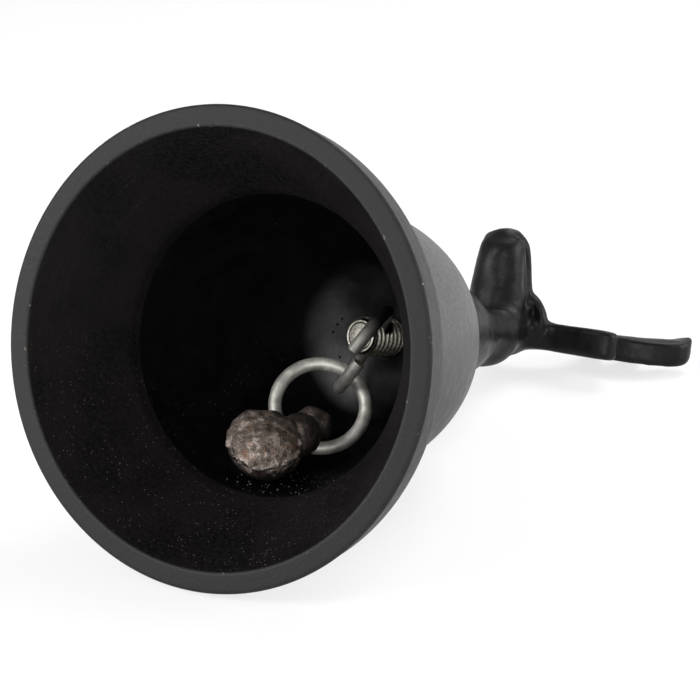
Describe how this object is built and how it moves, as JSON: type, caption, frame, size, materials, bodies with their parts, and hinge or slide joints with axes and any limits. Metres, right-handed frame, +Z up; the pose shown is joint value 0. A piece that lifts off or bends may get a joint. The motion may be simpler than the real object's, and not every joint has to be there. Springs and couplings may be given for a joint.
{
  "type": "decorative hand bell",
  "caption": "Flared cast bell lying on its side, with an antlered animal-head handle, a threaded stud and a rough clapper hung inside on linked split rings.",
  "frame": {"origin": "centre of the box around the bell, at the level of the table it lies on", "axes": "+Z up from the table, +Y from the mouth towards the antlers, +X to the right seen from the mouth"},
  "size_m": [0.084, 0.157, 0.0821],
  "materials": {
    "cup_black": "satin black coating over turned and cast metal",
    "handle_black": "satin black coating over a casting",
    "stud_zinc": "bright zinc plating, a little worn",
    "ring_steel": "dull plated wire",
    "raw_casting": "raw casting with rust tints"
  },
  "bodies": {
    "bell": {"bell_cup": "cup_black", "antlered_handle": "handle_black", "threaded_stud": "stud_zinc"},
    "upper_link": {"upper_ring": "ring_steel"},
    "lower_link": {"lower_ring": "ring_steel"},
    "clapper_swing": {"clapper": "raw_casting"}
  },
  "joints": [
    {"name": "upper_ring_swing", "type": "hinge", "parent": "bell", "child": "upper_link", "pos_m": [-0.00084, -0.00557, 0.02581], "axis": [0.5248, 0.1572, 0.8366], "range_deg": [-18, 0]},
    {"name": "lower_ring_swing", "type": "hinge", "parent": "upper_link", "child": "lower_link", "pos_m": [-0.00064, -0.01756, 0.02198], "axis": [0.8773, 0.0943, -0.4705], "range_deg": [-60, 0]},
    {"name": "clapper_hinge", "type": "hinge", "parent": "lower_link", "child": "clapper_swing", "pos_m": [-0.00481, -0.03107, 0.0115], "axis": [0.8773, 0.0943, -0.4705], "range_deg": [-4, 1]}
  ]
}
